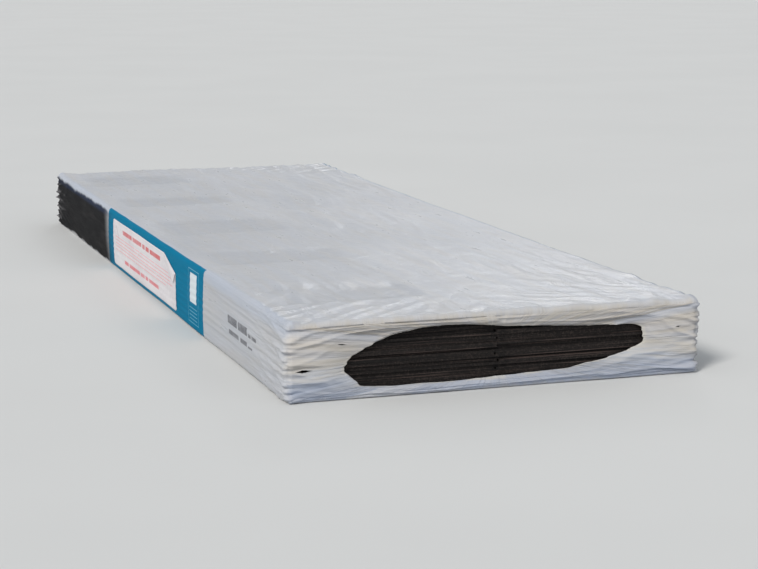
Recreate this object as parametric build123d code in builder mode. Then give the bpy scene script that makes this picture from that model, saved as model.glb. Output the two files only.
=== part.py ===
"""One bundle of laminated asphalt shingles, wrapped in a film sleeve, at its real size.

Millimetres, +Z up. X runs along the shingles, and the front long side faces -Y.
The origin is the middle of the footprint, on the surface that the bundle lies on.

Each shingle is a full ply with tabs along its butt edge, bonded over a backing strip.
They lie in nested pairs, back to back and end for end, so that the bundle stays level:
one shingle's backing strip fills the step beside the other's. The sleeve covers the stack
and folds in over both ends, where it leaves a long opening on the edges of the shingles.
"""

import os
from math import sin

from build123d import *

# Shingle
shingle_length = 1038.0
shingle_depth = 349.0
ply_thickness = 2.0
tab_bonding_depth = 23.0
notch_widths = (84.0, 62.0, 92.0, 70.0, 78.0)
notch_slant = 9.0
notch_corner_radius = 3.0

# How the shingles lie in the stack
pair_count = 10
backer_clearance = 1.5
lay_gap = 0.1
slip_along = 1.2
slip_across = 1.6
notch_shift = 30.0
wander_step = 2.4

# Film sleeve
film_thickness = 0.3
side_slack = 2.4
end_slack = 3.5
top_slack = 0.2

# Openings where the film stops short over the two ends, seen from outside: the corners of each
# are shares of half its width to the right and of half its height up
right_opening_width = 266.0
right_opening_height = 47.0
right_opening_corners = (
    (-1, -0.32),
    (-0.72, 0.75),
    (-0.3, 1),
    (0.9, 0.63),
    (1, -0.1),
    (0.5, -0.85),
    (-0.87, -1),
)
left_opening_width = 270.0
left_opening_height = 42.0
left_opening_corners = (
    (-1, 0.4),
    (-0.85, 0.82),
    (-0.15, 1),
    (0.8, 1),
    (1, 0.3),
    (0.68, -0.43),
    (0.1, -1),
    (-0.78, -0.86),
)
opening_corner_radius = 6.0
opening_rise = 0.5

# Stick-on labels, one on each long side
label_length = 305.0
label_height = 50.0
label_thickness = 0.2
label_corner_radius = 4.0
front_label_from_left_end = 366.0
back_label_from_left_end = 8.0

# Sizes that follow: the two backing strips of a pair lie side by side with a gap between them
backer_depth = (shingle_depth - backer_clearance) / 2
tab_depth = backer_depth - tab_bonding_depth
pair_thickness = 3 * ply_thickness + lay_gap
pair_pitch = pair_thickness + lay_gap
stack_height = pair_count * pair_pitch - lay_gap
stack_bottom = film_thickness
inner_length = shingle_length + 2 * (slip_along + end_slack)
inner_depth = shingle_depth + 2 * (slip_across + side_slack)
inner_height = stack_height + top_slack
film_bend_radius = side_slack
film_length = inner_length + 2 * film_thickness
film_depth = inner_depth + 2 * film_thickness
film_height = inner_height + 2 * film_thickness
opening_z = film_height / 2 + opening_rise


def make_shingle(number):
    """One laminated shingle in its place; even numbers lie face down, odd ones face up on them."""
    pair_number = number // 2
    pair_bottom = stack_bottom + pair_number * pair_pitch
    face_up = number % 2 == 1
    place_x = slip_along * sin(wander_step * number)
    place_y = slip_across * sin(wander_step * pair_number + 1)
    if face_up:
        back = Plane(
            origin=(place_x, place_y, pair_bottom + ply_thickness + lay_gap),
            x_dir=(1, 0, 0),
            z_dir=(0, 0, 1),
        )
    else:
        back = Plane(
            origin=(place_x, place_y, pair_bottom + 2 * ply_thickness),
            x_dir=(1, 0, 0),
            z_dir=(0, 0, -1),
        )
    notch_pitch = shingle_length / len(notch_widths)
    pattern_shift = notch_shift * sin(wander_step * number + 2)
    butt_edge = -shingle_depth / 2

    with BuildPart() as shingle:
        # Backing strip, behind the tabs
        with BuildSketch(back):
            with Locations((0, butt_edge)):
                Rectangle(shingle_length, backer_depth, align=(Align.CENTER, Align.MIN))
        extrude(amount=ply_thickness)
        # Full ply, notched from its butt edge into tabs
        with BuildSketch(back.offset(ply_thickness)):
            Rectangle(shingle_length, shingle_depth)
            for count, width in enumerate(notch_widths):
                middle = (count + 0.5) * notch_pitch - shingle_length / 2 + pattern_shift
                mouth = width / 2 + notch_slant
                with BuildSketch(mode=Mode.PRIVATE) as notch:
                    with BuildLine():
                        Polyline(
                            (middle - mouth, butt_edge),
                            (middle - width / 2, butt_edge + tab_depth),
                            (middle + width / 2, butt_edge + tab_depth),
                            (middle + mouth, butt_edge),
                            close=True,
                        )
                    make_face()
                    fillet(notch.vertices().group_by(Axis.Y)[-1], notch_corner_radius)
                add(notch.sketch, mode=Mode.SUBTRACT)
        extrude(amount=ply_thickness)
    return shingle.part


def opening_outline(width, height, corners):
    """A long uneven opening with rounded corners, as film leaves when it shrinks over an end."""
    points = [(right * width / 2, up * height / 2) for right, up in corners]
    with BuildSketch() as outline:
        with BuildLine():
            Polyline(*points, close=True)
        make_face()
        fillet(outline.vertices(), opening_corner_radius)
    return outline.sketch


def make_film_wrapper():
    """The sleeve: a thin closed skin with bent edges and an opening over each end."""
    with BuildPart() as hollow:
        with Locations((0, 0, film_thickness)):
            Box(inner_length, inner_depth, inner_height, align=(Align.CENTER, Align.CENTER, Align.MIN))
        fillet(hollow.edges(), film_bend_radius)

    right_outline = opening_outline(right_opening_width, right_opening_height, right_opening_corners)
    left_outline = opening_outline(left_opening_width, left_opening_height, left_opening_corners)

    with BuildPart() as film:
        Box(film_length, film_depth, film_height, align=(Align.CENTER, Align.CENTER, Align.MIN))
        fillet(film.edges(), film_bend_radius + film_thickness)
        add(hollow.part, mode=Mode.SUBTRACT)
        for end, outline in ((1, right_outline), (-1, left_outline)):
            end_face = Plane(origin=(end * film_length / 2, 0, opening_z), x_dir=(0, end, 0), z_dir=(end, 0, 0))
            with BuildSketch(end_face):
                add(outline)
            extrude(amount=-film_length / 2, mode=Mode.SUBTRACT)
    return film.part


def make_label(from_left_end, side):
    """A thin label on a long side: side is -1 for the front and 1 for the back."""
    middle_x = -film_length / 2 + from_left_end + label_length / 2
    face = Plane(
        origin=(middle_x, side * film_depth / 2, film_height / 2),
        x_dir=(-side, 0, 0),
        z_dir=(0, side, 0),
    )
    with BuildPart() as label:
        with BuildSketch(face):
            RectangleRounded(label_length, label_height, label_corner_radius)
        extrude(amount=label_thickness)
    return label.part


pieces = {f"shingle_{number + 1:02d}": make_shingle(number) for number in range(2 * pair_count)}
pieces["film_wrapper"] = make_film_wrapper()
pieces["front_label"] = make_label(front_label_from_left_end, -1)
pieces["back_label"] = make_label(back_label_from_left_end, 1)

os.makedirs("parts", exist_ok=True)
for name, piece in pieces.items():
    piece.label = name
    export_step(piece, f"parts/{name}.step")
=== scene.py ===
"""Looks of one wrapped bundle of asphalt shingles: printed shrink film, two labels, granule plies.

Metres, +Z up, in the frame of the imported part: X runs along the shingles, -Y is the front.

The film is one sheet of rows by columns. The columns go round the bundle, and the rows go along it,
round both ends and in to the rims of the openings. Folds stand out along the sheet's normals. The
print is painted on the web, which is the film as it lay flat: along the bundle, and round it from
the middle of the underside over the front, the top and the back.
"""

from math import cos, hypot, pi, radians, sin, sqrt

import bmesh
import bpy
import numpy as np
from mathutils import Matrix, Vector, noise


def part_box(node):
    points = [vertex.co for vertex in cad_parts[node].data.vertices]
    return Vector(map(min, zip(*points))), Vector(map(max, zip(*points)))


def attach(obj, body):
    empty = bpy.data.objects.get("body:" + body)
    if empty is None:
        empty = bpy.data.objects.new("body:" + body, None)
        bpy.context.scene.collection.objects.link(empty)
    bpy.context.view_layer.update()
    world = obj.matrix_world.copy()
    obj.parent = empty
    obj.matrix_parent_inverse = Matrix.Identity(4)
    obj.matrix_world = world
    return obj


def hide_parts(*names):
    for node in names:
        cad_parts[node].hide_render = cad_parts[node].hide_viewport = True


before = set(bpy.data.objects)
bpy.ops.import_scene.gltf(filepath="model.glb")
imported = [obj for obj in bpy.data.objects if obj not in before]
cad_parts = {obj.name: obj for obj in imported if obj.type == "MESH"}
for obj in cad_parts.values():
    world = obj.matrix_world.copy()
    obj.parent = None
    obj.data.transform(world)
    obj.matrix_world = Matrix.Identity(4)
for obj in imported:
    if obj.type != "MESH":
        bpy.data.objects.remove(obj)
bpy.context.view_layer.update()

MM = 0.001

# Film sleeve: the box that it covers, and how it bends
HALF_LENGTH, HALF_DEPTH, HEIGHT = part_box("film_wrapper")[1]
HALF_HEIGHT = HEIGHT / 2
LONG_EDGE_RADIUS = 4.0 * MM
END_EDGE_RADIUS = 3.0 * MM

# Openings over the two ends, seen from outside: (to the right, up) from the end's middle, in mm
RIGHT_OPENING = (
    (-133, -7), (-127, 2), (-96, 18), (-66, 23), (-40, 24), (34, 18), (78, 15.5), (120, 15),
    (131, 10), (131, -2), (100, -13), (72, -17.5), (67, -19.5), (-30, -23), (-116, -23),
)
LEFT_OPENING = (
    (-135, 9), (-120, 17), (-20, 21), (108, 21), (131, 13), (134, 6),
    (92, -9), (46, -18), (12, -21), (-102, -18), (-124, -3),
)
RIM_WAVINESS = 0.02
RIM_ROUNDING_ANGLE = 0.07
RIM_BEAD_RADIUS = 0.7 * MM
RIM_BEAD_FLATTENING = 0.6
RIM_TURNED_IN = 6 * MM
RIM_STRETCHED = 3 * MM

# Small tears: end, side of the end, place from its edge to the rim as a share, height as a share of
# the bundle's, length and width in mm
TEARS = (
    (1, -1, 0.22, 0.42, 15, 2.4), (1, 1, 0.34, 0.66, 7, 1.6), (1, -1, 0.62, 0.72, 8, 1.2),
    (-1, -1, 0.25, 0.35, 12, 2.2), (-1, 1, 0.20, 0.58, 16, 2.2), (-1, 1, 0.55, 0.44, 7, 1.4),
)
TEAR_COLUMNS_MOVED = 6
TEAR_COLUMN_PITCH = 0.9 * MM
TEAR_GIVE_REACH = 2.6 * MM

# The film's cut: round the stack with a lap below, and along it with what folds in over both ends
FILM_LAP = 45 * MM
WEB_WIDTH = 4 * HALF_DEPTH + 2 * HEIGHT

# How finely the film is divided
SIDE_COLUMNS = 60
TOP_COLUMNS = 150
BOTTOM_COLUMNS = 70
CORNER_COLUMNS = 5
BEND_ROWS = 5
CAP_ROWS = 30
BEAD_ROWS = 5
NEAR_END_ROWS = 34
NEAR_END_REACH = 85 * MM
MIDDLE_ROWS = 90

# The stack below the film, which shows through it
LAYER_PITCH = 6.2 * MM
TOP_SHINGLE = "shingle_20"
NOTCH_SLANT = 9 * MM
NOTCH_DIP = 1.8 * MM

# How far each kind of fold stands out: at the corners, on the long sides, on the top, on the ends
TEETH = 1.5 * MM
SIDE_TEETH_REACH = 7 * MM
END_TEETH_REACH = 5 * MM
SIDE_BELLY = 1.1 * MM
SIDE_SWAY = 1.1 * MM
SIDE_FANS_AT_END = 2.0 * MM
SIDE_FANS_FARTHER_IN = 1.0 * MM
SIDE_PLIES = 0.18 * MM
TOP_SWAY = 1.3 * MM
TOP_PLEATS = 1.5 * MM
TOP_CORNER_FOLDS = 2.2 * MM
TOP_LONG_FOLDS = 1.5 * MM
END_FOLDS = 2.8 * MM
END_FINE_FOLDS = 1.2 * MM
END_PUCKER = 0.5 * MM
END_PLIES = 0.12 * MM
END_BULGE = 1.8 * MM
END_DOME = 1.2 * MM
END_RIM_DRAWN_IN = 2.2 * MM

# Labels, which lie a little proud of the film; the fold is where it leaves the top edge and the
# right edge, in mm from the lower left corner, seen from outside
LABELS = (
    ("front_sticker", "front_label", -1, (255, 37)),
    ("back_sticker", "back_label", 1, (286, 42)),
)
LABEL_COLUMNS = 200
LABEL_ROWS = 34
LABEL_CORNER_RADIUS = 4 * MM
LABEL_THICKNESS = 0.12 * MM
LABEL_PROUD = 0.5 * MM
LABEL_LOOSE = 0.45 * MM
LABEL_FOLD_RISE = 0.5 * MM
LABEL_FOLD_SLOPE = 0.06

# How far the softness of print edges reaches, and how far round an edge a face's own looks go
SHARP_EDGE = 0.0004
BAR_EDGE = 0.0003
FINE_EDGE = 0.0002
SPRAYED_EDGE = 0.0022
FACE_EDGE = 0.004

# Print on the web: from and to along the bundle, whose middle is 0, or (left, bottom, right, top)
# with the height on its side; the dark end's values are where it fades in, from none to full
TOP_WEB_START = HALF_DEPTH + HEIGHT
TOP_WEB_END = TOP_WEB_START + 2 * HALF_DEPTH
SEAM_WEB = 0.60 * HALF_DEPTH
SEAM_HALF_WIDTH = FILM_LAP / 2
BLACK_FRONT = (-0.60, -0.1860)
BLACK_FRONT_SLANT = 0.30
BLACK_FRONT_FADE = 0.030
BLACK_FRONT_HEIGHTS = (0.0025, HEIGHT - 0.0035)
BLACK_BACK = (-0.1800, 0.5150)
BLACK_BACK_FADE = 0.014
BLACK_BACK_HEIGHTS = (0.0025, HEIGHT - 0.0025)
TEAL_FRONT = (-0.1890, 0.2560)
TEAL_BACK = (-0.5200, -0.1680)
TEAL_BACK_FADE = 0.010
TEAL_HEIGHTS = (0.0016, HEIGHT + 0.003)
DARK_END_STARTS = (-0.512, -0.521)
DARK_END_TOP_IN_FRONT = (0.042, 0.034)
DARK_END_TOP_AT_BACK = (0.030, 0.022)
SQUARE_MARK = (0.2055, 0.0270, 0.2305, 0.0545)
MARK_FRAME = (0.1980, 0.0075, 0.2380, 0.0580)
MARK_FRAME_INSIDE = (0.1986, 0.0081, 0.2374, 0.0574)
MARK_RULES = [(0.203, z, 0.233, z + 0.0007) for z in (0.011, 0.0145, 0.018, 0.0215)]
BACK_MARK = (-0.2000, 0.0250, -0.1800, 0.0450)
GREY_BARS = (
    (0.346, 0.0330, 0.378, 0.0400), (0.382, 0.0330, 0.412, 0.0400), (0.416, 0.0330, 0.424, 0.0362),
    (0.427, 0.0330, 0.442, 0.0362), (0.350, 0.0240, 0.384, 0.0280), (0.390, 0.0240, 0.412, 0.0280),
    (0.416, 0.0240, 0.430, 0.0258),
)

# Print on the labels: the bars' lengths, and each thin line's height and right end; and the crease,
# which leans by its slant for each metre up
HEADLINE_BARS = (0.046, 0.044, 0.012, 0.016, 0.048)
FOOTER_BARS = (0.020, 0.052, 0.018, 0.012, 0.044)
BAR_SPACE = 0.005
THIN_LINES = ((0.0180, 0.262), (0.0215, 0.290), (0.0250, 0.281), (0.0285, 0.290), (0.0320, 0.274))
THIN_LINES_LEFT = 0.014
THIN_LINE_WIDTH = 0.0009
CREASE_ACROSS = (0.0662, 0.0672)
CREASE_HEIGHTS = (0.0310, 0.0440)
CREASE_SLANT = 1.1

# Colours as 8-bit sRGB: the bare film with its painted light and shade, its print, the labels, the
# shingles and the floor
FILM = (188, 190, 195)
FILM_CLOUDED = (181, 184, 190)
FILM_VALLEY_SHADE = (146, 152, 164)
FILM_PLY_LINE = (158, 161, 167)
FILM_LIT_AND_DUSTY_FACING_UP = (202, 195, 184)
FILM_SHADED_FACING_DOWN = (132, 143, 166)
FILM_END_SHADED_LOW = (150, 163, 188)
FILM_END_LIT_HIGH = (198, 189, 178)
FILM_SHOW_THROUGH_AND_SHADE = (152, 156, 163)
FILM_SEAM = (200, 201, 204)
FILM_PAINTED_SKY_SHEEN = (170, 182, 202)
FILM_RIM = (196, 192, 184)
DUST = (184, 175, 159)
GRIT = (96, 90, 84)
BLACK_INK = (22, 22, 24)
BLACK_INK_WORN = (42, 40, 41)
BLACK_INK_PAINTED_SKY_SHEEN = (50, 62, 90)
DARK_END_INK = (34, 33, 35)
DARK_END_HIGHLIGHT_STREAK = (156, 156, 160)
CREST_PAINTED_HIGHLIGHT = (128, 126, 128)
SCRATCH = (180, 182, 186)
TEAL_INK = (0, 114, 149)
TEAL_FINE_LINE = (150, 205, 222)
SQUARE_WHITE = (214, 222, 226)
BACK_SQUARE_WHITE = (206, 214, 220)
GREY_INK = (84, 84, 90)
PAPER = (226, 222, 224)
PAPER_CLOUDED = (212, 205, 208)
PAPER_SOILED = (178, 172, 176)
PAPER_CREASE_SHADE = (92, 84, 86)
HEADLINE_RED = (206, 58, 62)
FOOTER_RED = (222, 96, 104)
THIN_LINE_RED = (232, 140, 146)
ASPHALT = (24, 20, 19)
GRANULE = (46, 40, 37)
PLY_SEAM = (10, 8, 8)
PALE_PLY_LINE = (92, 78, 73)
GAP_SHADE = (9, 8, 8)
FLOOR = (214, 214, 212)
FLOOR_CLOUDED = (212, 212, 210)

# Stage: the light from all round, where the suns shine from, and the camera at the photo's angle
FILL_COLOUR = (0.86, 0.92, 1, 1)
FILL_STRENGTH = 0.46
SEEN_BACKGROUND = (0.74, 0.75, 0.76, 1)
KEY_FROM = (0.50, -0.55, 0.62)
BACK_FROM = (-0.90, 0.40, 0.40)
FLOOR_REACH = 14
CAMERA_PLACE = (HALF_LENGTH + 1.4206, -0.5875, HALF_HEIGHT + 0.325)
CAMERA_AIM = (0.174, 0.017, 0.026)
CAMERA_LENS_MM = 92
CAMERA_SENSOR_MM = 36


def linear(colour):
    """An 8-bit sRGB colour as Blender's linear red, green, blue and alpha."""
    shares = [value / 255 for value in colour]
    curved = [s / 12.92 if s <= 0.04045 else ((s + 0.055) / 1.055) ** 2.4 for s in shares]
    return (*curved, 1.0)


def smooth_noise(x, y, z=0.0):
    """Perlin noise at arrays of places, from about -1 to 1.

    A place divided by a length gives waves of about that length, and z picks one of many patterns.
    """
    x, y, z = np.broadcast_arrays(x, y, z)
    places = zip(x.ravel(), y.ravel(), z.ravel())
    values = np.array([noise.noise(Vector(place)) for place in places])
    return values.reshape(x.shape)


def creases(across, along, seed):
    """Sharp-crested wrinkles from 0 to 1 that run along one direction."""
    wander = 0.6 * smooth_noise(across * 0.3, along * 0.7, seed + 3.1)
    field = smooth_noise(across + wander, along, seed)
    fine = smooth_noise(across * 2.3 + wander, along * 1.6, seed + 11.7)
    broad_crest = (1 - np.abs(field) * 2.4).clip(0, 1) ** 2
    fine_crest = (1 - np.abs(fine) * 2.4).clip(0, 1) ** 2
    return 0.7 * broad_crest + 0.3 * fine_crest


def smooth_step(share):
    """A share from 0 to 1, eased at both ends."""
    share = np.clip(share, 0, 1)
    return share * share * (3 - 2 * share)


def section_columns():
    """The film's cross-section: y, z, outward normal and place on the web for each column.

    It starts under the middle, goes up the front, over the top and down the back.
    """
    radius = LONG_EDGE_RADIUS
    flat_y, flat_z = HALF_DEPTH - radius, HEIGHT - 2 * radius
    columns = []
    web = 0.0

    def straight(start, end, normal, count, crowd=0.0):
        """A flat run of columns, which crowd towards both of its ends."""
        nonlocal web
        run = [end[k] - start[k] for k in (0, 1)]
        for step in range(count):
            share = step / count
            share += crowd * ((1 - cos(pi * share)) / 2 - share)
            place = [start[k] + run[k] * share for k in (0, 1)]
            columns.append((*place, *normal, web + hypot(*run) * share))
        web += hypot(*run)

    def corner(centre, first_angle):
        """A rounded long edge, which counts on the web as the square corner round it."""
        nonlocal web
        for step in range(CORNER_COLUMNS):
            share = step / CORNER_COLUMNS
            angle = first_angle - share * pi / 2
            normal = (cos(angle), sin(angle))
            place = [centre[k] + radius * normal[k] for k in (0, 1)]
            columns.append((*place, *normal, web + 2 * radius * share))
        web += 2 * radius

    straight((0, 0), (-flat_y, 0), (0, -1), BOTTOM_COLUMNS // 2)
    corner((-flat_y, radius), -pi / 2)
    straight((-HALF_DEPTH, radius), (-HALF_DEPTH, radius + flat_z), (-1, 0), SIDE_COLUMNS)
    corner((-flat_y, HEIGHT - radius), pi)
    straight((-flat_y, HEIGHT), (flat_y, HEIGHT), (0, 1), TOP_COLUMNS, crowd=0.5)
    corner((flat_y, HEIGHT - radius), pi / 2)
    straight((HALF_DEPTH, radius + flat_z), (HALF_DEPTH, radius), (1, 0), SIDE_COLUMNS)
    corner((flat_y, radius), 0)
    straight((flat_y, 0), (0, 0), (0, -1), BOTTOM_COLUMNS // 2)
    return np.array(columns).T


def outline_reach(angles, points):
    """How far a star-shaped outline of straight runs lies from its middle, towards each angle."""
    turn = np.arctan2(points[:, 1], points[:, 0])
    points = points[np.argsort(turn)]
    turn = np.sort(turn)
    first = (np.searchsorted(turn, (angles + pi) % (2 * pi) - pi) - 1) % len(points)
    start = points[first]
    run = points[(first + 1) % len(points)] - start
    toward_run = np.cos(angles) * run[:, 1] - np.sin(angles) * run[:, 0]
    return (start[:, 0] * run[:, 1] - start[:, 1] * run[:, 0]) / toward_run


def rim_places(y, z, outline, mirror):
    """For section places y, z, the places on the opening's rim that face them."""
    points = np.array(outline, float) * MM
    points[:, 0] *= mirror
    wide, high = np.abs(points).max(axis=0)
    here = np.arctan2((z - HALF_HEIGHT) / HALF_HEIGHT, y / HALF_DEPTH)
    # Each reach is an average over a short stretch, which rounds the outline's corners
    nearby = np.linspace(-RIM_ROUNDING_ANGLE, RIM_ROUNDING_ANGLE, 7)
    reach = np.mean([outline_reach(here + turn, points / (wide, high)) for turn in nearby], axis=0)
    reach = reach + RIM_WAVINESS * smooth_noise(np.cos(here) * 9, np.sin(here) * 9, mirror * 3.3)
    return reach * np.cos(here) * wide, reach * np.sin(here) * high + HALF_HEIGHT


def corner_teeth(z, end, side):
    """The stepped edge where film is drawn over the corners of the plies."""
    layer = z / LAYER_PITCH + 0.2 * side
    number = np.floor(layer)
    share = layer - number
    size = (0.75 + 2.2 * smooth_noise(number * 1.37 + 0.31, end * 2.0 + side, 0.5)).clip(0.08, 1.45)
    crest = 0.5 + 0.45 * smooth_noise(number * 2.11 + 0.7, end * 2.0 - side, 4.5)
    bulge = 1 - 2 * np.where(share < crest, 1 - share / crest, (share - crest) / (1 - crest)) ** 0.9
    lean = 1.6 * smooth_noise(z / 0.035, end * 3.0, side * 2.0 + 0.7)
    return size * bulge * TEETH + (lean - 0.4) * MM


def side_relief(x, z, side):
    """How far a long side's film stands out from its flat face, at arrays of x and z."""
    rise = (z - HALF_HEIGHT) / HALF_HEIGHT
    end = np.sign(x)
    from_end = (HALF_LENGTH - np.abs(x)).clip(0)
    seed = 20.0 * side + end * 5
    belly = SIDE_BELLY * (1 - rise**2)
    sway = SIDE_SWAY * smooth_noise(x / 0.15, z / 0.06, 4.2 * side)
    pulled = SIDE_FANS_AT_END * np.exp(-from_end / 0.035)
    pulled = pulled + SIDE_FANS_FARTHER_IN * np.exp(-from_end / 0.15)
    tilt = 0.12 * from_end * np.sign(smooth_noise(z / 0.03, 0.5, seed))
    fans = creases((z + tilt) / 0.0085, from_end / 0.07, seed)
    pressed = 0.5 + smooth_noise(x / 0.09, z / 0.02, seed + 7)
    plies = SIDE_PLIES * np.cos(2 * pi * z / LAYER_PITCH) * pressed
    at_corner = np.exp(-((from_end / SIDE_TEETH_REACH) ** 1.5))
    return belly + sway + pulled * fans + plies + at_corner * corner_teeth(z, end, side)


def top_notches():
    """The topmost shingle's notches: pairs of x where they open, and the y of both their ends."""
    corners = np.array([vertex.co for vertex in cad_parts[TOP_SHINGLE].data.vertices])
    face = corners[corners[:, 2] > corners[:, 2].max() - 0.01 * MM]
    butt = face[:, 1].min()
    mouths = np.unique(face[face[:, 1] < butt + 0.1 * MM][:, 0].round(5))[1:-1].reshape(-1, 2)
    inside = (face[:, 1] > butt + 1 * MM) & (np.abs(face[:, 0]) < mouths.max())
    return mouths, butt, face[inside][:, 1].max()


def top_relief(x, y, notches):
    """How far the film stands up from the stack's top; it sinks a little into the notches."""
    mouths, butt, head = notches
    dip = 0
    for left, right in mouths:
        slant = NOTCH_SLANT * (y - butt) / (head - butt)
        inside_left = smooth_step((x - left - slant) / (14 * MM))
        dip = dip + inside_left * smooth_step((right - slant - x) / (14 * MM))
    dip = dip * smooth_step((head - y) / (16 * MM)) * smooth_step((y - butt - 8 * MM) / (25 * MM))
    end = np.sign(x)
    from_end = (HALF_LENGTH - np.abs(x)).clip(0)
    from_side = (HALF_DEPTH - np.abs(y)).clip(0)
    sway = TOP_SWAY * (0.5 + 0.5 * smooth_noise(x / 0.14, y / 0.10, 8.8))
    near_end = np.exp(-((from_end / 0.12) ** 1.3))
    pleats = TOP_PLEATS * near_end * creases(y / 0.035, from_end / 0.12, 31 + end)
    slant = (from_end - from_side * 0.8) / 0.024
    near_corner = np.exp(-(((from_end + from_side) / 0.20) ** 2))
    drawn = creases(slant, (from_end + from_side) / 0.14, 47 + end * 3 + np.sign(y))
    drawn = TOP_CORNER_FOLDS * near_corner * drawn
    lean = y + 0.08 * x + 0.02 * smooth_noise(x / 0.2, y / 0.2, 1.5)
    here_and_there = smooth_step(0.5 + 2 * smooth_noise(x / 0.22, y / 0.12, 12.2))
    lengthwise = TOP_LONG_FOLDS * here_and_there * creases(lean / 0.028, x / 0.16, 60.5)
    return sway + pleats + drawn + lengthwise - NOTCH_DIP * dip


def cap_relief(y, rise, cap_share, end, column):
    """How far the film stands out from an end face, with wrinkles that flow round the opening."""
    flow = rise * HALF_HEIGHT * (1 - 0.93 * cap_share)
    along = (np.abs(y) - HALF_DEPTH) / 0.05
    seed = 70 + 9 * end + np.sign(y)
    squeeze = 1 - 0.55 * cap_share * (1 - np.abs(y) / HALF_DEPTH)
    near_corner = np.exp(-((HALF_DEPTH - np.abs(y)).clip(0) / 0.040))
    folds = creases(flow / 0.0145, along * 0.6, seed) * squeeze * (0.6 + 0.7 * near_corner)
    fine = creases(flow / 0.0060, along * 1.3, seed + 20) * squeeze * (0.15 + 0.4 * near_corner)
    pucker = creases(column / 5.0, cap_share * 0.8, seed + 40) * cap_share
    plies = np.cos(2 * pi * (rise + 1) * HALF_HEIGHT / LAYER_PITCH) * (1 - cap_share)
    return END_FOLDS * folds + END_FINE_FOLDS * fine + END_PUCKER * pucker + END_PLIES * plies


def row_stations():
    """Rows from the left rim to the right one, as (zone, side of the middle, share of the zone)."""
    middle_end = HALF_LENGTH - END_EDGE_RADIUS - NEAR_END_REACH
    half = [("wall", 2 * middle_end * step / MIDDLE_ROWS) for step in range(MIDDLE_ROWS // 2)]
    for step in range(NEAR_END_ROWS):
        share = step / NEAR_END_ROWS
        half.append(("wall", middle_end + NEAR_END_REACH * (1.5 * share - 0.5 * share**2)))
    half += [("bend", step / BEND_ROWS) for step in range(BEND_ROWS)]
    half += [("cap", step / CAP_ROWS) for step in range(CAP_ROWS + 1)]
    half += [("bead", (step + 1) / BEAD_ROWS) for step in range(BEAD_ROWS)]
    left = [(zone, -1, share) for zone, share in reversed(half[1:])]
    return left + [(zone, 1, share) for zone, share in half]


def outward_normals(places, stations):
    """The sheet's normals; where the rim rolls over, they point straight out of the end."""
    along_rows = np.gradient(places, axis=0)
    along_columns = (np.roll(places, -1, axis=1) - np.roll(places, 1, axis=1)) / 2
    normals = np.cross(along_rows, along_columns)
    normals /= np.linalg.norm(normals, axis=2, keepdims=True)
    for row, (zone, end, _) in enumerate(stations):
        if zone == "bead":
            normals[row] = (end, 0, 0)
    return normals


def film_grid():
    """The film's places, web coordinates, relief and nearness to a rim, as rows by columns."""
    y, z, normal_y, normal_z, web_v = section_columns()
    sideness = normal_y**2
    topness = (normal_z > 0) * normal_z**2
    side = np.sign(normal_y)
    bottom = z < 0.5 * MM
    rise = (z - HALF_HEIGHT) / HALF_HEIGHT
    column = np.arange(len(y))
    stations = row_stations()
    places = np.zeros((len(stations), len(y), 3))
    relief = np.zeros((len(stations), len(y)))
    web = np.zeros((len(stations), len(y), 2))
    rim = np.zeros((len(stations), len(y)))
    inner_y = y - normal_y * END_EDGE_RADIUS
    inner_z = z - normal_z * END_EDGE_RADIUS
    rims = {1: rim_places(y, z, RIGHT_OPENING, 1), -1: rim_places(y, z, LEFT_OPENING, -1)}
    notches = top_notches()

    for row, (zone, end, share) in enumerate(stations):
        rim_y, rim_z = rims[end]
        length = np.hypot(rim_y - inner_y, rim_z - inner_z)
        x = np.full(len(y), end * HALF_LENGTH)
        here_y, here_z = y, z
        capness = 0.0
        cap_share = 0.0
        if zone == "wall":
            x[:] = end * share
            run = share
        elif zone == "bend":
            angle = share * pi / 2
            drawn_in = END_EDGE_RADIUS * (1 - cos(angle))
            x[:] = end * (HALF_LENGTH - END_EDGE_RADIUS * (1 - sin(angle)))
            here_y, here_z = y - normal_y * drawn_in, z - normal_z * drawn_in
            capness = sin(angle) ** 2
            run = HALF_LENGTH - END_EDGE_RADIUS * (1 - angle)
        else:
            capness = 1.0
            cap_share = share if zone == "cap" else 1.0
            dome = END_DOME * sin(pi * cap_share) - END_RIM_DRAWN_IN * cap_share**2
            dome = dome + END_BULGE * (1 - rise**2) * (1 - cap_share)
            x[:] = end * (HALF_LENGTH + dome)
            here_y = inner_y + (rim_y - inner_y) * cap_share
            here_z = inner_z + (rim_z - inner_z) * cap_share
            run = HALF_LENGTH + 2 * MM + length * cap_share
            rim[row] = smooth_step((cap_share * length - length + RIM_STRETCHED) / (2 * MM))
            if zone == "bead":
                # The rim rolls over towards the stack, and its last row lies back under the film
                turn = min(share * 1.25, 1) * pi
                inward = RIM_BEAD_RADIUS * sin(turn) - (RIM_TURNED_IN if share == 1 else 0)
                here_y = here_y + (rim_y - inner_y) * inward / length
                here_z = here_z + (rim_z - inner_z) * inward / length
                x = x - end * RIM_BEAD_RADIUS * (1 - cos(turn)) * RIM_BEAD_FLATTENING

        on_wall = side_relief(x, z, side) * sideness + top_relief(x, here_y, notches) * topness
        on_cap = cap_relief(here_y, rise, cap_share, end, column)
        from_corner = (HALF_DEPTH - np.abs(here_y)).clip(0)
        at_corner = np.exp(-((from_corner / END_TEETH_REACH) ** 1.5)) * (sideness > 0.5)
        on_cap = on_cap + at_corner * corner_teeth(z, end, side)
        relief[row] = (1 - capness) * on_wall + capness * on_cap
        if capness < 0.5:
            relief[row][bottom] = 0

        places[row] = np.stack([x, here_y, here_z], 1)
        web[row] = np.stack([np.full(len(y), end) * run, web_v], 1)

    places = places + outward_normals(places, stations) * relief[..., None]
    places[..., 2] = np.maximum(places[..., 2], 0)
    return places, web, relief, rim


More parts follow.
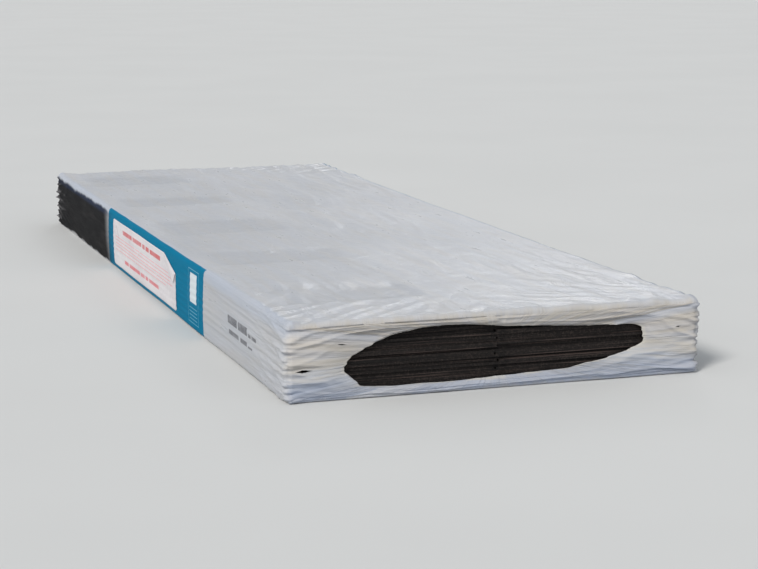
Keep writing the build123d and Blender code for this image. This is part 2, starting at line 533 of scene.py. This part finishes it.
def mesh_object(name, vertices, faces, corner_uvs=None, map_name="web"):
    """A smooth mesh in the scene, with a UV for each corner of its faces."""
    mesh = bpy.data.meshes.new(name)
    mesh.from_pydata([tuple(v) for v in vertices], [], faces)
    if corner_uvs is not None:
        layer = mesh.uv_layers.new(name=map_name)
        layer.data.foreach_set("uv", np.asarray(corner_uvs, np.float32).ravel())
    mesh.shade_smooth()
    mesh.update()
    piece = bpy.data.objects.new(name, mesh)
    bpy.context.scene.collection.objects.link(piece)
    return piece


def open_tears(places):
    """Part the film along short stretches of columns; gives the doubled points by (row, column)."""
    columns = places.shape[1]
    stations = row_stations()
    doubled = {}
    for end, side, cap_share, height, length, width in TEARS:
        cap_rows = [r for r, station in enumerate(stations) if station[:2] == ("cap", end)]
        row = min(cap_rows, key=lambda r: abs(stations[r][2] - cap_share))
        on_side = places[row, :, 1] * side > 0
        column = int(np.where(on_side, np.abs(places[row, :, 2] - height * HEIGHT), 1).argmin())
        step = np.linalg.norm(places[row + 1, column] - places[row, column])
        reach = max(int(length * MM / step / 2), 2)
        for offset in range(-reach, reach + 1):
            ragged = 0.75 + 0.9 * noise.noise(Vector((offset * 0.6, height * 9, side * 3)))
            gape = width / 2 * MM * (1 - abs(offset / reach) ** 1.4) * ragged
            line = places[row + offset]
            up = line[(column + 1) % columns] - line[column - 1]
            up = up / np.linalg.norm(up)
            edge = line[column].copy()
            for beside in range(1, TEAR_COLUMNS_MOVED + 1):
                give = gape * np.exp(-((beside * TEAR_COLUMN_PITCH / TEAR_GIVE_REACH) ** 2)) * up
                line[(column + beside) % columns] += give
                line[column - beside] -= give
            if abs(offset) < reach:
                doubled[(row + offset, column)] = edge + gape * up
                line[column] = edge - gape * up
    return doubled


def make_film():
    """The film as one mesh: its web is the UV map, and each point has its relief and rim."""
    places, web, relief, rim = film_grid()
    rows, columns = places.shape[:2]
    doubled = open_tears(places)
    number = {place: rows * columns + count for count, place in enumerate(doubled)}
    vertices = np.vstack([places.reshape(-1, 3), *doubled.values()])
    faces, uvs = [], []
    for row in range(rows - 1):
        for column in range(columns):
            after = (column + 1) % columns
            near = [number.get((r, column), r * columns + column) for r in (row, row + 1)]
            faces.append((near[0], near[1], (row + 1) * columns + after, row * columns + after))
            around = WEB_WIDTH if after == 0 else 0
            uvs += [web[row, column], web[row + 1, column],
                    web[row + 1, after] + (0, around), web[row, after] + (0, around)]
    film = mesh_object("film_sleeve", vertices, faces, uvs)
    for name, grid in (("fold", relief / MM), ("rim", rim)):
        values = np.append(grid.ravel(), [grid[place] for place in doubled])
        film.data.attributes.new(name, "FLOAT", "POINT").data.foreach_set("value", values)
    return film


def make_label(name, node, side, fold):
    """A label that follows the film of a long side, with its upper right corner turned down."""
    low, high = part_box(node)
    length, height = high.x - low.x, high.z - low.z
    radius = LABEL_CORNER_RADIUS
    start, end = Vector((fold[0] * MM, height, 0)), Vector((length, fold[1] * MM, 0))
    run = (end - start).normalized()

    sheet = bmesh.new()
    bmesh.ops.create_grid(sheet, x_segments=LABEL_COLUMNS, y_segments=LABEL_ROWS, size=0.5)
    for vertex in sheet.verts:
        up = (vertex.co.y + 0.5) * height
        into_corner = max(radius - min(up, height - up), 0)
        trim = radius - sqrt(radius**2 - into_corner**2)
        vertex.co = (trim + (vertex.co.x + 0.5) * (length - 2 * trim), up, 0)
    everything = sheet.verts[:] + sheet.edges[:] + sheet.faces[:]
    bmesh.ops.bisect_plane(sheet, geom=everything, plane_co=start, plane_no=(-run.y, run.x, 0))
    sheet.verts.index_update()
    flat = np.array([vertex.co[:2] for vertex in sheet.verts])
    faces = [[vertex.index for vertex in face.verts] for face in sheet.faces]
    sheet.free()

    over, up = flat.T
    beyond = ((up - start.y) * run.x - (over - start.x) * run.y).clip(0)
    over, up = over + 2 * beyond * run.y, up - 2 * beyond * run.x
    x = low.x + over if side < 0 else high.x - over
    z = low.z + up
    loose = LABEL_LOOSE * smooth_noise(x / 0.035, z / 0.02, 6.1 * side).clip(0)
    turned_up = LABEL_FOLD_RISE * smooth_step(beyond / (1.5 * MM)) + LABEL_FOLD_SLOPE * beyond
    out = HALF_DEPTH + side_relief(x, z, side) + LABEL_PROUD + loose + turned_up
    places = np.stack([x, side * out, z], 1)
    uvs = [flat[corner] for face in faces for corner in face]
    label = mesh_object(name, places, faces, uvs, "sheet")
    solidify = label.modifiers.new("thickness", "SOLIDIFY")
    solidify.thickness = LABEL_THICKNESS
    solidify.offset = -1
    solidify.use_even_offset = False
    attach(label, "root")
    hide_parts(node)
    return label


class Paint:
    """A material whose colour is laid on in layers by nodes.

    A mask is a value from 0 to 1. A colour is an 8-bit sRGB one, or a socket that gives one.
    """

    def __init__(self, name, first_colour):
        self.material = bpy.data.materials.new(name)
        self.material.use_nodes = True
        self.tree = self.material.node_tree
        self.shader = self.tree.nodes["Principled BSDF"]
        self.colour = first_colour

    def node(self, kind, **settings):
        made = self.tree.nodes.new(kind)
        for setting, value in settings.items():
            setattr(made, setting, value)
        return made

    def wire(self, socket, value):
        """Feed a socket from another one, or set it to a constant."""
        if isinstance(value, bpy.types.NodeSocket):
            self.tree.links.new(value, socket)
        else:
            socket.default_value = value

    def math(self, operation, *values):
        made = self.node("ShaderNodeMath", operation=operation)
        for socket, value in zip(made.inputs, values):
            self.wire(socket, value)
        return made.outputs[0]

    def split(self, vector):
        """The three coordinates of a vector."""
        made = self.node("ShaderNodeSeparateXYZ")
        self.wire(made.inputs[0], vector)
        return made.outputs

    def object_place(self):
        return self.node("ShaderNodeTexCoord").outputs["Object"]

    def map_place(self, map_name):
        """A UV map's vector and its two coordinates."""
        place = self.node("ShaderNodeUVMap", uv_map=map_name).outputs[0]
        across, up, _ = self.split(place)
        return place, across, up

    def attribute(self, name):
        return self.node("ShaderNodeAttribute", attribute_name=name).outputs["Fac"]

    def noise(self, place, scale, detail=3.0, roughness=0.5, distortion=0.0):
        """Noise from 0 to 1, mostly near 0.5, with its own scale along each axis of the place."""
        stretched = self.node("ShaderNodeMapping")
        self.wire(stretched.inputs["Vector"], place)
        stretched.inputs["Scale"].default_value = scale
        made = self.node("ShaderNodeTexNoise")
        self.wire(made.inputs["Vector"], stretched.outputs[0])
        made.inputs["Scale"].default_value = 1
        made.inputs["Detail"].default_value = detail
        made.inputs["Roughness"].default_value = roughness
        made.inputs["Distortion"].default_value = distortion
        return made.outputs["Fac"]

    def step(self, value, low, high):
        """0 below low and 1 above high, or the other way round, with a soft change between."""
        made = self.node("ShaderNodeMapRange", interpolation_type="SMOOTHSTEP")
        turned = low > high
        for socket, given in zip(made.inputs[:3], (value, min(low, high), max(low, high))):
            self.wire(socket, given)
        made.inputs[3].default_value = 1 if turned else 0
        made.inputs[4].default_value = 0 if turned else 1
        return made.outputs[0]

    def band(self, value, low, high, soft=SHARP_EDGE):
        """1 between low and high, and 0 outside them."""
        above_low = self.step(value, low - soft, low + soft)
        return self.both(above_low, self.step(value, high + soft, high - soft))

    def box(self, across, up, corners, soft=SHARP_EDGE):
        """1 inside a box with corners (left, bottom, right, top)."""
        left, bottom, right, top = corners
        return self.both(self.band(across, left, right, soft), self.band(up, bottom, top, soft))

    def either(self, *masks):
        """The highest of some masks."""
        total = masks[0]
        for mask in masks[1:]:
            total = self.math("MAXIMUM", total, mask)
        return total

    def both(self, *masks):
        """The product of some masks."""
        total = masks[0]
        for mask in masks[1:]:
            total = self.math("MULTIPLY", total, mask)
        return total

    def mixed(self, under, over, mask):
        """One colour where the mask is 0, and the other where it is 1."""
        made = self.node("ShaderNodeMix", data_type="RGBA")
        self.wire(made.inputs["Factor"], mask)
        for socket, colour in (("A", under), ("B", over)):
            self.wire(made.inputs[socket], linear(colour) if isinstance(colour, tuple) else colour)
        return made.outputs["Result"]

    def lay(self, colour, *masks):
        """Lay a colour over what is there, as strongly as the product of the masks."""
        self.colour = self.mixed(self.colour, colour, self.both(*masks))

    def finish(self, roughness, *bumps):
        """Connect the colour, the roughness and bumps of (height, depth in metres), broad first."""
        self.wire(self.shader.inputs["Base Color"], self.colour)
        self.wire(self.shader.inputs["Roughness"], roughness)
        normal = None
        for height, depth in bumps:
            made = self.node("ShaderNodeBump")
            made.inputs["Distance"].default_value = depth
            self.wire(made.inputs["Height"], height)
            if normal is not None:
                self.wire(made.inputs["Normal"], normal)
            normal = made.outputs[0]
        if normal is not None:
            self.wire(self.shader.inputs["Normal"], normal)
        return self.material


class FilmPaint(Paint):
    """The printed film, painted by its place on the web, and with painted light and shade by how it
    lies on the bundle.
    """

    def __init__(self):
        super().__init__("printed_film", FILM)
        self.web, self.along, self.around = self.map_place("web")
        self.from_middle = self.math("ABSOLUTE", self.along)
        self.front_up = self.math("SUBTRACT", self.around, HALF_DEPTH)
        self.back_up = self.math("SUBTRACT", 3 * HALF_DEPTH + 2 * HEIGHT, self.around)
        here = self.node("ShaderNodeTexCoord")
        _, y, self.height = self.split(here.outputs["Object"])
        self.from_centre_line = self.math("ABSOLUTE", y)
        self.facing_up = self.split(here.outputs["Normal"])[2]
        self.fold = self.attribute("fold")

        self.on_front = self.band(self.front_up, -FACE_EDGE, HEIGHT + FACE_EDGE, 0.001)
        self.on_back = self.band(self.back_up, -FACE_EDGE, HEIGHT + FACE_EDGE, 0.001)
        self.on_sides = self.either(self.on_front, self.on_back)
        self.on_end = self.step(
            self.from_middle, HALF_LENGTH - FACE_EDGE, HALF_LENGTH + FACE_EDGE
        )
        self.on_top = self.both(
            self.step(self.around, TOP_WEB_START - FACE_EDGE, TOP_WEB_START + 0.010),
            self.step(self.around, TOP_WEB_END + FACE_EDGE, TOP_WEB_END - 0.010),
        )
        self.on_broad = self.math("SUBTRACT", 1, self.either(self.on_sides, self.on_end))
        # A band along the top bend of both long sides, where a bluish reflection of the sky is
        # painted
        self.sky_sheen_band = self.either(*[
            self.box(self.along, up, (-0.6, HEIGHT - 0.008, 0.6, HEIGHT + 0.006), 0.003)
            for up in (self.front_up, self.back_up)
        ])

        self.cloud = self.web_noise(4, 11)
        flutter = self.web_noise(22, 10, 3, 0.6)
        self.drift = self.both(self.math("SUBTRACT", flutter, 0.5), 0.014)

    def web_noise(self, along_scale, around_scale, detail=3.0, roughness=0.5, distortion=0.0):
        return self.noise(self.web, (along_scale, around_scale, 1), detail, roughness, distortion)

    def milky_ground(self):
        """Milky film with painted light and shade: greyer in valleys, warm facing up, blue facing
        down.
        """
        self.lay(FILM_CLOUDED, self.step(self.cloud, 0.35, 0.75))
        # Painted shade: the valleys of the end folds are greyer and bluer
        self.lay(FILM_VALLEY_SHADE, self.step(self.fold, 1.2, 0.0), self.on_end, 0.35)
        ply_lines = self.step(self.web_noise(1.6, 420, 3, 0.6), 0.46, 0.66)
        self.lay(FILM_PLY_LINE, ply_lines, self.on_sides, 0.35)
        # Painted light with some dust, warm, where the end's film faces up; painted shade, blue,
        # where it faces down
        self.lay(FILM_LIT_AND_DUSTY_FACING_UP, self.step(self.facing_up, 0.05, 0.45), self.on_end, 0.35)
        self.lay(FILM_SHADED_FACING_DOWN, self.step(self.facing_up, -0.05, -0.45), self.on_end, 0.45)

        # Painted shade, bluish, low on the ends, and warm painted light high on them; less dust
        # lies in that painted shade
        wavy_height = self.math("MULTIPLY_ADD", self.cloud, 0.014, self.height)
        low = self.both(self.step(wavy_height, 0.031, 0.014), self.on_end, 0.5)
        self.lay(FILM_END_SHADED_LOW, low)
        self.lay(FILM_END_LIT_HIGH, self.step(wavy_height, 0.030, 0.052), self.on_end, 0.45)
        # Greyer where the top's film lies low: the dark stack showing through it, and painted shade
        # in the notch hollows
        self.lay(FILM_SHOW_THROUGH_AND_SHADE, self.step(self.fold, 2.2, -1.0), self.on_top, 0.42)
        from_seam = self.math("ABSOLUTE", self.math("SUBTRACT", self.around, SEAM_WEB))
        self.lay(FILM_SEAM, self.band(from_seam, -1, SEAM_HALF_WIDTH), 0.5)

        dust = self.step(self.web_noise(9, 70, 5, 0.65), 0.40, 0.66)
        more_on_ends = self.math("MULTIPLY_ADD", self.on_end, 0.4, 0.2)
        less_down_low = self.math("MULTIPLY_ADD", low, -1.5, 1)
        self.lay(DUST, dust, more_on_ends, less_down_low)
        # Painted reflection: a bluish sheen of sky along the top bend
        self.lay(FILM_PAINTED_SKY_SHEEN, self.sky_sheen_band, self.cloud, 0.7)
        self.lay(GRIT, self.step(self.web_noise(190, 190, 2, 0.6), 0.735, 0.765), 0.7)

    def fields(self):
        """The black and teal fields of both long sides, and the dark left end."""
        worn = self.step(self.web_noise(8, 40, 5, 0.65, 0.5), 0.45, 0.75)
        black = self.mixed(BLACK_INK, BLACK_INK_WORN, worn)
        self.front_fields(black)
        self.back_fields(black)
        self.dark_left_end()

    def front_fields(self, black):
        """The front's black has sprayed edges, and fades out over the start of the teal."""
        front_edge = self.math("ADD", self.front_up, self.drift)
        sprayed = self.math("MULTIPLY_ADD", self.drift, 1.2, self.along)
        slanted = self.math("MULTIPLY_ADD", self.front_up, BLACK_FRONT_SLANT, sprayed)
        left, right = BLACK_FRONT
        self.front_black = self.both(
            self.band(slanted, left, right + BLACK_FRONT_SLANT * HALF_HEIGHT, BLACK_FRONT_FADE),
            self.band(front_edge, *BLACK_FRONT_HEIGHTS, SPRAYED_EDGE),
            self.on_front,
        )
        self.front_teal = self.both(
            self.band(self.along, *TEAL_FRONT),
            self.band(self.front_up, *TEAL_HEIGHTS, 0.0005),
        )
        self.lay(black, self.front_black)
        self.lay(TEAL_INK, self.front_teal)
        self.lay(black, self.front_black, self.front_teal, 0.8)

    def back_fields(self, black):
        """The back's black starts at the right end, and fades into the teal."""
        back_edge = self.math("ADD", self.back_up, self.drift)
        self.back_black = self.both(
            self.band(self.along, *BLACK_BACK, BLACK_BACK_FADE),
            self.band(back_edge, *BLACK_BACK_HEIGHTS, SPRAYED_EDGE),
            self.on_back,
        )
        left, right = TEAL_BACK
        self.back_teal = self.both(
            self.step(self.along, left - 0.001, left + 0.001),
            self.step(self.along, right + TEAL_BACK_FADE, right - TEAL_BACK_FADE),
            self.band(self.back_up, *TEAL_HEIGHTS, 0.0005),
        )
        self.lay(TEAL_INK, self.back_teal)
        self.lay(black, self.back_black)

    def dark_left_end(self):
        """The left end's dark field comes up from below, higher in front."""
        front_edge = self.math("MULTIPLY_ADD", self.drift, 2, self.front_up)
        back_edge = self.math("MULTIPLY_ADD", self.drift, 2, self.back_up)
        below_top = self.either(
            self.step(front_edge, *DARK_END_TOP_IN_FRONT),
            self.step(back_edge, *DARK_END_TOP_AT_BACK),
        )
        self.dark_end = self.both(self.step(self.along, *DARK_END_STARTS), below_top)
        self.lay(DARK_END_INK, self.dark_end)

    def painted_sheen_and_highlights(self):
        """Painted light on dark print: sky sheen, pale highlight streaks, silvery highlights on
        crests.
        """
        black = self.either(self.front_black, self.back_black)
        # Painted reflection: a bluish sheen of sky on the dark print along the top bend
        self.lay(BLACK_INK_PAINTED_SKY_SHEEN, black, self.sky_sheen_band, self.step(self.cloud, 0.30, 0.60), 0.55)

        # Painted highlight streaks run from the corners of the dark end down to its opening
        across_streaks = self.math("MULTIPLY_ADD", self.from_centre_line, -0.42, self.height)
        slanted = self.node("ShaderNodeCombineXYZ")
        self.wire(slanted.inputs[0], across_streaks)
        self.wire(slanted.inputs[1], self.both(self.from_centre_line, 0.045))
        highlight_streaks = self.step(self.noise(slanted.outputs[0], (230, 230, 230), 3, 0.55), 0.57, 0.66)
        near_corner = self.step(self.from_centre_line, 0.118, 0.150)
        self.lay(DARK_END_HIGHLIGHT_STREAK, highlight_streaks, near_corner, self.dark_end, 0.7)

        self.dark = self.either(self.dark_end, self.front_black, self.back_black)
        near_end = self.step(self.from_middle, 0.40, 0.50)
        # Painted highlights: silvery fold crests on the dark print near the ends
        self.lay(CREST_PAINTED_HIGHLIGHT, self.step(self.fold, 1.5, 2.8), self.dark, near_end, 0.6)

    def marks(self):
        """The square marks, the fine lines round the front one, and two rows of plain bars."""
        def on_front(corners, soft=SHARP_EDGE):
            return self.box(self.along, self.front_up, corners, soft)

        inside = on_front(MARK_FRAME_INSIDE, FINE_EDGE)
        frame_line = self.math("SUBTRACT", on_front(MARK_FRAME, FINE_EDGE), inside)
        rules = [on_front(rule, FINE_EDGE) for rule in MARK_RULES]
        self.lay(TEAL_FINE_LINE, self.either(frame_line, *rules), 0.55)
        self.lay(SQUARE_WHITE, on_front(SQUARE_MARK))
        self.lay(BACK_SQUARE_WHITE, self.box(self.along, self.back_up, BACK_MARK))
        bars = self.either(*[on_front(bar) for bar in GREY_BARS])
        faded = self.math("MULTIPLY_ADD", self.step(self.web_noise(60, 120), 0.25, 0.60), 0.35, 0.5)
        self.lay(GREY_INK, bars, faded)

    def wear(self):
        """Short pale scratches along the dark print, and ragged pale rims."""
        scratch = self.step(self.web_noise(14, 700, 4, 0.7), 0.64, 0.70)
        here_and_there = self.step(self.web_noise(4, 24, 2), 0.56, 0.64)
        self.lay(SCRATCH, scratch, here_and_there, self.dark, 0.5)
        ragged = self.step(self.web_noise(30, 30, 3, 0.6), 0.36, 0.56)
        self.lay(FILM_RIM, self.attribute("rim"), ragged, 0.75)


def film_material():
    """Satin film whose print is rougher, with ripples, dimples, ridges and crinkles."""
    paint = FilmPaint()
    paint.milky_ground()
    paint.fields()
    paint.painted_sheen_and_highlights()
    paint.marks()
    paint.wear()

    satin = paint.math("MULTIPLY_ADD", paint.web_noise(20, 120, 4, 0.6), 0.22, 0.20)
    printed = paint.either(paint.front_black, paint.back_black, paint.front_teal, paint.back_teal)
    roughness = paint.math("MULTIPLY_ADD", printed, 0.42, satin)

    ripple = paint.web_noise(7, 26, 2)
    dimple = paint.both(paint.web_noise(24, 34, 4, 0.55, 1.2), paint.on_broad)
    crease = paint.web_noise(14, 150, 3, 0.55, 0.6)
    ridge = paint.math("ABSOLUTE", paint.math("SUBTRACT", crease, 0.5))
    near_end = paint.step(paint.from_middle, HALF_LENGTH - 0.16, HALF_LENGTH)
    more_near_ends = paint.math("MULTIPLY_ADD", near_end, 0.75, 0.25)
    less_on_broad = paint.math("MULTIPLY_ADD", paint.on_broad, -0.8, 1)
    ridge = paint.both(ridge, more_near_ends, less_on_broad)
    crinkle = paint.both(paint.web_noise(11, 230, 3, 0.5, 0.3), paint.on_sides)
    paint.shader.inputs["Specular IOR Level"].default_value = 0.07
    bumps = (ripple, 0.6 * MM), (dimple, 1.2 * MM), (ridge, 2.2 * MM), (crinkle, 0.1 * MM)
    return paint.finish(roughness, *bumps)


def label_material():
    """White paper with plain red bars and thin lines, one crease as painted shade, and some
    soiling.
    """
    paint = Paint("paper_label", PAPER)
    place, across, up = paint.map_place("sheet")
    paint.lay(PAPER_CLOUDED, paint.step(paint.noise(place, (12, 20, 1), 4, 0.6), 0.35, 0.75))

    def row_of_bars(lengths, left, bottom, tall):
        masks = []
        for length in lengths:
            corners = (left, bottom, left + length, bottom + tall)
            masks.append(paint.box(across, up, corners, BAR_EDGE))
            left += length + BAR_SPACE
        return paint.either(*masks)

    faded = paint.math("MULTIPLY_ADD", paint.noise(place, (50, 90, 1)), 0.8, 0.40)
    headline = row_of_bars(HEADLINE_BARS, left=0.052, bottom=0.0388, tall=0.0046)
    paint.lay(HEADLINE_RED, headline, faded)
    thin_lines = paint.either(*[
        paint.box(across, up, (THIN_LINES_LEFT, bottom, right, bottom + THIN_LINE_WIDTH), FINE_EDGE)
        for bottom, right in THIN_LINES
    ])
    dashed = paint.step(paint.noise(place, (90, 700, 1), 1), 0.34, 0.38)
    paint.lay(THIN_LINE_RED, thin_lines, dashed, 0.7)
    footer = row_of_bars(FOOTER_BARS, left=0.060, bottom=0.0080, tall=0.0040)
    paint.lay(FOOTER_RED, footer, faded)

    # Painted shade along one slanted crease line
    slanted = paint.math("ADD", across, paint.both(up, CREASE_SLANT))
    crease = paint.band(slanted, *CREASE_ACROSS, 0.0005)
    paint.lay(PAPER_CREASE_SHADE, crease, paint.band(up, *CREASE_HEIGHTS, 0.002), 0.75)
    paint.lay(PAPER_SOILED, paint.step(paint.noise(place, (26, 40, 1), 5, 0.7), 0.56, 0.74), 0.35)

    crumple = paint.noise(place, (45, 60, 1), 4, 0.6, 1.0)
    fibre = paint.noise(place, (900, 900, 1), 2)
    return paint.finish(0.48, (crumple, 1.2 * MM), (fibre, 0.03 * MM))


def shingle_material():
    """Asphalt with granules: dark seams and pale lines along the plies, and a shaded middle."""
    paint = Paint("asphalt_granules", ASPHALT)
    place = paint.object_place()
    grains = paint.node("ShaderNodeTexVoronoi")
    paint.wire(grains.inputs["Vector"], place)
    grains.inputs["Scale"].default_value = 900
    by_grain = paint.node("ShaderNodeSeparateColor")
    paint.wire(by_grain.inputs[0], grains.outputs["Color"])
    paint.lay(GRANULE, paint.step(by_grain.outputs[0], 0.55, 0.95))
    seams = paint.noise(place, (6, 6, 480), 3, 0.6)
    paint.lay(PLY_SEAM, paint.step(seams, 0.50, 0.62), 0.8)
    paint.lay(PALE_PLY_LINE, paint.step(paint.noise(place, (9, 9, 1100), 2, 0.6), 0.58, 0.70), 0.55)

    # The backing strips meet along the middle, where the edges are ragged and lie in shade
    beside_gap = paint.step(paint.math("ABSOLUTE", paint.split(place)[1]), 0.016, 0.001)
    ragged = paint.step(paint.noise(place, (30, 170, 330), 3, 0.6), 0.36, 0.60)
    paint.lay(GAP_SHADE, beside_gap, ragged, 0.9)
    paint.shader.inputs["Specular IOR Level"].default_value = 0.25
    return paint.finish(0.8, (seams, 1.2 * MM), (grains.outputs["Distance"], 0.4 * MM))


def floor_material():
    """Plain pale paint with a hardly visible cloud in it."""
    paint = Paint("floor_paint", FLOOR)
    paint.lay(FLOOR_CLOUDED, paint.step(paint.noise(paint.object_place(), (3, 3, 3)), 0.3, 0.7))
    return paint.finish(0.9)


def make_floor():
    """A plain square floor, far wider than the view."""
    reach = FLOOR_REACH
    corners = [(-reach, -reach, 0), (reach, -reach, 0), (reach, reach, 0), (-reach, reach, 0)]
    floor = mesh_object("floor", corners, [(0, 1, 2, 3)])
    floor.data.materials.append(floor_material())


def make_softbox(name, place, aim, size, power):
    """A square light at a place, turned towards what it aims at."""
    lamp = bpy.data.lights.new(name, "AREA")
    lamp.size = size
    lamp.energy = power
    box = bpy.data.objects.new(name, lamp)
    box.location = place
    box.rotation_euler = (Vector(aim) - Vector(place)).to_track_quat("-Z", "Y").to_euler()
    bpy.context.scene.collection.objects.link(box)


def make_sun(name, comes_from, power, spread, colour=(1, 1, 1)):
    """Light from one direction; spread is its angle in degrees, and softens the shadows."""
    lamp = bpy.data.lights.new(name, "SUN")
    lamp.energy = power
    lamp.angle = radians(spread)
    lamp.color = colour
    sun = bpy.data.objects.new(name, lamp)
    sun.rotation_euler = Vector(comes_from).to_track_quat("Z", "Y").to_euler()
    bpy.context.scene.collection.objects.link(sun)


def make_world():
    """A bluish fill that lights the object, and the plain grey that is seen and mirrored."""
    world = bpy.data.worlds.new("studio")
    bpy.context.scene.world = world
    world.use_nodes = True
    nodes, links = world.node_tree.nodes, world.node_tree.links
    fill = nodes["Background"]
    fill.inputs["Color"].default_value = FILL_COLOUR
    fill.inputs["Strength"].default_value = FILL_STRENGTH
    seen = nodes.new("ShaderNodeBackground")
    seen.inputs["Color"].default_value = SEEN_BACKGROUND
    rays = nodes.new("ShaderNodeLightPath")
    seen_by = rays.outputs["Is Camera Ray"]
    for kind in ("Is Glossy Ray", "Is Transmission Ray"):
        either = nodes.new("ShaderNodeMath")
        either.operation = "MAXIMUM"
        links.new(seen_by, either.inputs[0])
        links.new(rays.outputs[kind], either.inputs[1])
        seen_by = either.outputs[0]
    choice = nodes.new("ShaderNodeMixShader")
    for socket, output in zip(choice.inputs, (seen_by, fill.outputs[0], seen.outputs[0])):
        links.new(output, socket)
    links.new(choice.outputs[0], nodes["World Output"].inputs["Surface"])


def make_camera():
    """The camera, which looks along the bundle from its right end."""
    camera = bpy.data.objects.new("camera", bpy.data.cameras.new("camera"))
    camera.location = CAMERA_PLACE
    direction = Vector(CAMERA_AIM) - camera.location
    camera.rotation_euler = direction.to_track_quat("-Z", "Y").to_euler()
    camera.data.lens = CAMERA_LENS_MM
    camera.data.sensor_width = CAMERA_SENSOR_MM
    bpy.context.scene.collection.objects.link(camera)
    bpy.context.scene.camera = camera


film = make_film()
film.data.materials.append(film_material())
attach(film, "root")
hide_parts("film_wrapper")

label_paper = label_material()
for name, node, side, fold in LABELS:
    make_label(name, node, side, fold).data.materials.append(label_paper)

granules = shingle_material()
for name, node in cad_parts.items():
    if name.startswith("shingle"):
        node.data.materials.clear()
        node.data.materials.append(granules)

make_floor()
make_world()
make_sun("key", KEY_FROM, power=2.3, spread=16, colour=(1, 0.975, 0.94))
make_sun("back", BACK_FROM, power=0.15, spread=10)
make_softbox("glint", place=(2.6, 1.2, 1.7), aim=(0.5, 0, 0.03), size=1.2, power=5)
make_camera()
bpy.context.scene.view_settings.view_transform = "Standard"
